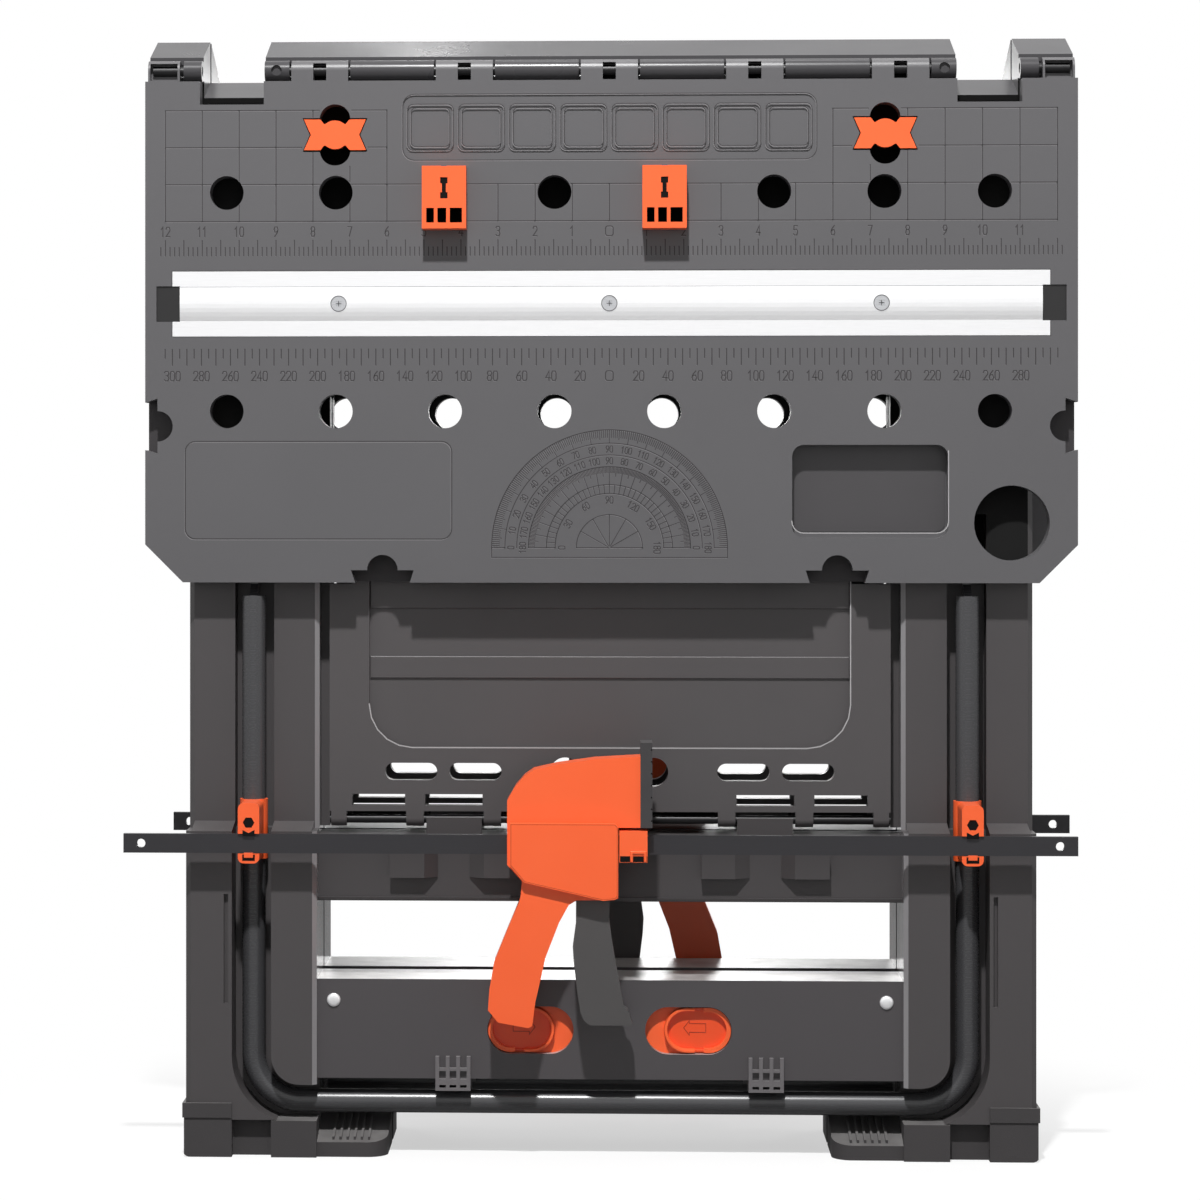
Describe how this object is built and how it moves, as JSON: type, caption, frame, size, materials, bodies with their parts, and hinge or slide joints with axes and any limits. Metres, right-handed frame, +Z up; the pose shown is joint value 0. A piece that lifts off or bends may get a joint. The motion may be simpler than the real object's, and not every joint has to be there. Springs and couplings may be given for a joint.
{
  "type": "folding workbench",
  "caption": "Folding workbench, folded flat on its feet, with lifting work panels, dog holes, swing-out support tubes, bar clamps, a folding shelf and hinged legs.",
  "frame": {"origin": "floor level, centre of the folded bench's footprint", "axes": "+X along the bench to the right, -Y to the side with the orange jaws, +Z up"},
  "size_m": [0.6612, 0.194, 0.771],
  "materials": {
    "leg_plastic": "fine moulded grain",
    "panel_plastic": "fine moulded grain",
    "frame_plastic": "fine moulded grain",
    "foot_rubber": "matt",
    "bright_steel": "zinc plated",
    "rail_aluminium": "satin extruded",
    "black_plastic": "satin",
    "black_paint": "gloss black",
    "bar_steel": "dark oxide",
    "clamp_plastic": "fine moulded grain",
    "pad_rubber": "matt",
    "orange_plastic": "satin"
  },
  "bodies": {
    "front_frame": {"front_left_leg": "leg_plastic", "front_right_leg": "leg_plastic", "front_top_beam": "frame_plastic", "front_crossbeam": "frame_plastic", "front_stretcher": "frame_plastic", "front_feet": "foot_rubber", "front_tube_clips": "frame_plastic", "front_panel_pin": "bright_steel", "front_pivot_pins": "bright_steel", "front_shelf_rod": "bright_steel", "ridge_pin": "bright_steel"},
    "front_shelf": {"front_shelf": "frame_plastic"},
    "front_panel": {"front_panel": "panel_plastic", "front_rail": "rail_aluminium", "front_rail_caps": "black_plastic", "front_rail_screws": "bright_steel", "front_saddles": "panel_plastic"},
    "front_tube": {"front_tube": "black_paint", "front_bar_clips": "orange_plastic"},
    "front_clamp_bar": {"front_clamp_bar": "bar_steel"},
    "front_clamp": {"front_clamp_body": "orange_plastic", "front_clamp_cover": "orange_plastic", "front_clamp_pad": "pad_rubber"},
    "front_trigger": {"front_clamp_trigger": "clamp_plastic"},
    "front_release": {"front_clamp_release": "orange_plastic"},
    "front_latch_left": {"front_latch_left": "orange_plastic"},
    "front_dog_left": {"front_dog_left": "orange_plastic"},
    "front_latch_right": {"front_latch_right": "orange_plastic"},
    "front_dog_right": {"front_dog_right": "orange_plastic"},
    "rear_frame": {"rear_left_leg": "leg_plastic", "rear_right_leg": "leg_plastic", "rear_top_beam": "frame_plastic", "rear_crossbeam": "frame_plastic", "rear_stretcher": "frame_plastic", "rear_feet": "foot_rubber", "rear_tube_clips": "frame_plastic", "rear_panel_pin": "bright_steel", "rear_pivot_pins": "bright_steel", "rear_shelf_rod": "bright_steel"},
    "rear_shelf": {"rear_shelf": "frame_plastic"},
    "rear_panel": {"rear_panel": "panel_plastic", "rear_rail": "rail_aluminium", "rear_rail_caps": "black_plastic", "rear_rail_screws": "bright_steel", "rear_saddles": "panel_plastic"},
    "rear_tube": {"rear_tube": "black_paint", "rear_bar_clips": "orange_plastic"},
    "rear_clamp_bar": {"rear_clamp_bar": "bar_steel"},
    "rear_clamp": {"rear_clamp_body": "orange_plastic", "rear_clamp_cover": "orange_plastic", "rear_clamp_pad": "pad_rubber"},
    "rear_trigger": {"rear_clamp_trigger": "clamp_plastic"},
    "rear_release": {"rear_clamp_release": "orange_plastic"},
    "rear_latch_left": {"rear_latch_left": "orange_plastic"},
    "rear_dog_left": {"rear_dog_left": "orange_plastic"},
    "rear_latch_right": {"rear_latch_right": "orange_plastic"},
    "rear_dog_right": {"rear_dog_right": "orange_plastic"},
    "jaw_left": {"jaw_left": "orange_plastic"},
    "jaw_right": {"jaw_right": "orange_plastic"}
  },
  "joints": [
    {"name": "front_shelf_fold", "type": "hinge", "parent": "front_frame", "child": "front_shelf", "pos_m": [0, -0.031, 0.229], "axis": [-1, 0, 0], "range_deg": [0, 70.1]},
    {"name": "front_panel_lift", "type": "hinge", "parent": "front_frame", "child": "front_panel", "pos_m": [0, -0.051, 0.745], "axis": [-1, 0, 0], "range_deg": [0, 70]},
    {"name": "front_tube_swing", "type": "hinge", "parent": "front_frame", "child": "front_tube", "pos_m": [0, -0.034, 0.403], "axis": [-1, 0, 0], "range_deg": [0, 124.4]},
    {"name": "front_bar_off", "type": "slide", "parent": "front_tube", "child": "front_clamp_bar", "axis": [0, -1, 0], "range_m": [0, 0.05]},
    {"name": "front_clamp_slide", "type": "slide", "parent": "front_clamp_bar", "child": "front_clamp", "axis": [1, 0, 0], "range_m": [-0.15, 0.2]},
    {"name": "front_trigger_squeeze", "type": "hinge", "parent": "front_clamp", "child": "front_trigger", "pos_m": [-0.008, -0.08, 0.19], "axis": [0, 1, 0], "range_deg": [0, 16], "stiffness_Nm_per_rad": 2},
    {"name": "front_release_tilt", "type": "hinge", "parent": "front_clamp", "child": "front_release", "pos_m": [0.011, -0.074, 0.224], "axis": [0, -1, 0], "range_deg": [0, 6], "stiffness_Nm_per_rad": 0.6},
    {"name": "front_latch_left_slide", "type": "slide", "parent": "front_frame", "child": "front_latch_left", "axis": [1, 0, 0], "range_m": [0, 0.01], "stiffness_N_per_m": 300},
    {"name": "front_dog_left_out", "type": "slide", "parent": "front_panel", "child": "front_dog_left", "axis": [0, -1, 0], "range_m": [0, 0.04]},
    {"name": "front_latch_right_slide", "type": "slide", "parent": "front_frame", "child": "front_latch_right", "axis": [-1, 0, 0], "range_m": [0, 0.01], "stiffness_N_per_m": 300},
    {"name": "front_dog_right_out", "type": "slide", "parent": "front_panel", "child": "front_dog_right", "axis": [0, -1, 0], "range_m": [0, 0.04]},
    {"name": "legs_spread", "type": "hinge", "parent": "front_frame", "child": "rear_frame", "pos_m": [0, 0, 0.764], "axis": [1, 0, 0], "range_deg": [0, 40]},
    {"name": "rear_shelf_fold", "type": "hinge", "parent": "rear_frame", "child": "rear_shelf", "pos_m": [0, 0.031, 0.229], "axis": [1, 0, 0], "range_deg": [0, 70.1]},
    {"name": "rear_panel_lift", "type": "hinge", "parent": "rear_frame", "child": "rear_panel", "pos_m": [0, 0.051, 0.745], "axis": [1, 0, 0], "range_deg": [0, 70]},
    {"name": "rear_tube_swing", "type": "hinge", "parent": "rear_frame", "child": "rear_tube", "pos_m": [0, 0.034, 0.403], "axis": [1, 0, 0], "range_deg": [0, 124.4]},
    {"name": "rear_bar_off", "type": "slide", "parent": "rear_tube", "child": "rear_clamp_bar", "axis": [0, 1, 0], "range_m": [0, 0.05]},
    {"name": "rear_clamp_slide", "type": "slide", "parent": "rear_clamp_bar", "child": "rear_clamp", "axis": [-1, 0, 0], "range_m": [-0.15, 0.2]},
    {"name": "rear_trigger_squeeze", "type": "hinge", "parent": "rear_clamp", "child": "rear_trigger", "pos_m": [0.008, 0.08, 0.19], "axis": [0, -1, 0], "range_deg": [0, 16], "stiffness_Nm_per_rad": 2},
    {"name": "rear_release_tilt", "type": "hinge", "parent": "rear_clamp", "child": "rear_release", "pos_m": [-0.011, 0.074, 0.224], "axis": [0, 1, 0], "range_deg": [0, 6], "stiffness_Nm_per_rad": 0.6},
    {"name": "rear_latch_left_slide", "type": "slide", "parent": "rear_frame", "child": "rear_latch_left", "axis": [-1, 0, 0], "range_m": [0, 0.01], "stiffness_N_per_m": 300},
    {"name": "rear_dog_left_out", "type": "slide", "parent": "rear_panel", "child": "rear_dog_left", "axis": [0, 1, 0], "range_m": [0, 0.04]},
    {"name": "rear_latch_right_slide", "type": "slide", "parent": "rear_frame", "child": "rear_latch_right", "axis": [1, 0, 0], "range_m": [0, 0.01], "stiffness_N_per_m": 300},
    {"name": "rear_dog_right_out", "type": "slide", "parent": "rear_panel", "child": "rear_dog_right", "axis": [0, 1, 0], "range_m": [0, 0.04]},
    {"name": "jaw_left_out", "type": "slide", "parent": "front_panel", "child": "jaw_left", "axis": [0, -1, 0], "range_m": [0, 0.04]},
    {"name": "jaw_right_out", "type": "slide", "parent": "front_panel", "child": "jaw_right", "axis": [0, -1, 0], "range_m": [0, 0.04]}
  ],
  "couplings": [
    {"joint": "front_shelf_fold", "follows": "legs_spread", "ratio": 1.75},
    {"joint": "front_tube_swing", "follows": "front_panel_lift", "ratio": 1.776},
    {"joint": "rear_shelf_fold", "follows": "legs_spread", "ratio": 1.75},
    {"joint": "rear_tube_swing", "follows": "rear_panel_lift", "ratio": 1.776}
  ]
}
